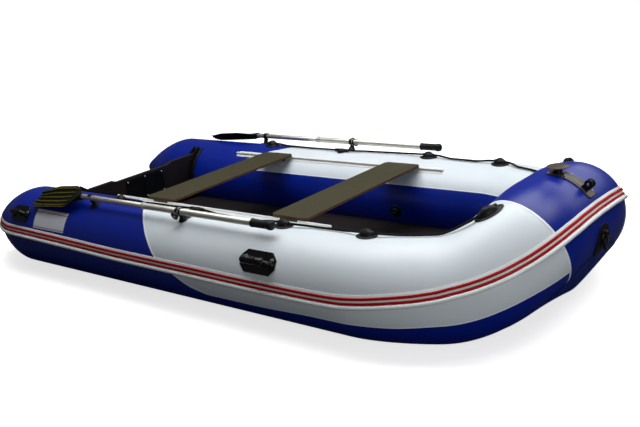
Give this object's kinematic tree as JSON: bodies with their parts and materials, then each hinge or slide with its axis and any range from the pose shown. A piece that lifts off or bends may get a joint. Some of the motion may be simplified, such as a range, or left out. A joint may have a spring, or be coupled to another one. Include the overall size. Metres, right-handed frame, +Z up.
{
  "type": "inflatable boat",
  "caption": "Inflatable boat: round side tubes bent into a raised bow, plywood transom and floor, sliding bench seats, oars in swivel rowlocks, lifelines and carry handles",
  "frame": {"origin": "On the ground under the middle of the boat's length and beam", "axes": "+X to the bow, +Y to port, +Z up"},
  "size_m": [3.7081, 1.7226, 0.6525],
  "materials": {
    "pvc_blue": "satin coated fabric",
    "pvc_grey": "satin coated fabric",
    "strake_white": "satin with two red lines",
    "seat_plywood": "olive brown film-faced plywood",
    "transom_plywood": "dark lacquered plywood",
    "aluminium": "drawn, satin",
    "blade_plastic": "moulded",
    "steel": "satin",
    "rope": "braided",
    "black_rubber": "matte",
    "black_plastic": "moulded"
  },
  "bodies": {
    "hull": {"bow_fitting": "black_plastic", "carry_handle_port": "black_rubber", "carry_handle_starboard": "black_rubber", "floorboard_aft": "seat_plywood", "floorboard_bow": "seat_plywood", "floorboard_fore": "seat_plywood", "hull_bottom": "pvc_grey", "keel_tube": "pvc_grey", "lifeline_port": "rope", "lifeline_starboard": "rope", "motor_plate_inner": "black_plastic", "motor_plate_outer": "black_plastic", "oar_clip_port": "black_rubber", "oar_clip_starboard": "black_rubber", "rope_holder_port_1": "black_rubber", "rope_holder_port_2": "black_rubber", "rope_holder_port_3": "black_rubber", "rope_holder_port_4": "black_rubber", "rope_holder_starboard_1": "black_rubber", "rope_holder_starboard_2": "black_rubber", "rope_holder_starboard_3": "black_rubber", "rope_holder_starboard_4": "black_rubber", "rowlock_base_port": "black_rubber", "rowlock_base_starboard": "black_rubber", "seat_rail_port": "strake_white", "seat_rail_starboard": "strake_white", "stern_handle_port": "black_rubber", "stern_handle_starboard": "black_rubber", "strake_bow": "strake_white", "strake_port": "strake_white", "strake_starboard": "strake_white", "tow_patch": "black_rubber", "transom": "transom_plywood", "transom_holder_port": "black_rubber", "transom_holder_starboard": "black_rubber", "tube_bow": "pvc_blue", "tube_port": "pvc_blue", "tube_starboard": "pvc_blue"},
    "oar_starboard": {"rowlock_swivel_starboard": "steel", "oar_blade_starboard": "blade_plastic", "oar_shaft_lower_starboard": "aluminium", "oar_shaft_upper_starboard": "aluminium", "oar_grip_starboard": "black_rubber"},
    "oar_port": {"rowlock_swivel_port": "steel", "oar_blade_port": "blade_plastic", "oar_shaft_lower_port": "aluminium", "oar_shaft_upper_port": "aluminium", "oar_grip_port": "black_rubber"},
    "seat_aft": {"seat_aft": "seat_plywood", "seat_aft_slider_starboard": "black_plastic", "seat_aft_slider_port": "black_plastic"},
    "seat_fore": {"seat_fore": "seat_plywood", "seat_fore_slider_starboard": "black_plastic", "seat_fore_slider_port": "black_plastic"},
    "valve_cap_starboard": {"valve_cap_starboard": "black_plastic"},
    "valve_cap_port": {"valve_cap_port": "black_plastic"},
    "valve_cap_bow": {"valve_cap_bow": "black_plastic"},
    "drain_plug": {"drain_plug": "black_plastic"},
    "bow_roller": {"bow_roller": "black_rubber"},
    "tow_ring": {"tow_ring": "steel"}
  },
  "joints": [
    {"name": "oar_starboard_swing", "type": "hinge", "parent": "hull", "child": "oar_starboard", "pos_m": [-0.031, -0.6928, 0.4374], "axis": [0, -0.3641, 0.9314], "range_deg": [0, 95]},
    {"name": "oar_port_swing", "type": "hinge", "parent": "hull", "child": "oar_port", "pos_m": [-0.031, 0.6928, 0.4374], "axis": [0, 0.3641, 0.9314], "range_deg": [-95, 0]},
    {"name": "seat_aft_slide", "type": "slide", "parent": "hull", "child": "seat_aft", "axis": [1, 0, 0], "range_m": [-0.16, 0.435]},
    {"name": "seat_fore_slide", "type": "slide", "parent": "hull", "child": "seat_fore", "axis": [1, 0, 0], "range_m": [-0.25, 0.09]},
    {"name": "valve_cap_starboard_turn", "type": "hinge", "parent": "hull", "child": "valve_cap_starboard", "pos_m": [0.484, -0.3842, 0.1978], "axis": [0, 0.9925, -0.1219], "range_deg": [0, 90]},
    {"name": "valve_cap_port_turn", "type": "hinge", "parent": "hull", "child": "valve_cap_port", "pos_m": [0.484, 0.3842, 0.1978], "axis": [0, -0.9925, -0.1219], "range_deg": [0, 90]},
    {"name": "valve_cap_bow_turn", "type": "hinge", "parent": "hull", "child": "valve_cap_bow", "pos_m": [1.3766, 0, 0.3826], "axis": [-0.9994, 0, -0.0349], "range_deg": [0, 90]},
    {"name": "drain_plug_turn", "type": "hinge", "parent": "hull", "child": "drain_plug", "pos_m": [-1.213, 0.28, 0.098], "axis": [-1, 0, 0], "range_deg": [0, 90]},
    {"name": "bow_roller_spin", "type": "hinge", "parent": "hull", "child": "bow_roller", "pos_m": [1.7786, 0, 0.5811], "axis": [0, 1, 0], "continuous": true},
    {"name": "tow_ring_swing", "type": "hinge", "parent": "hull", "child": "tow_ring", "pos_m": [1.8422, 0, 0.3655], "axis": [0, -1, 0], "range_deg": [0, 95]}
  ]
}
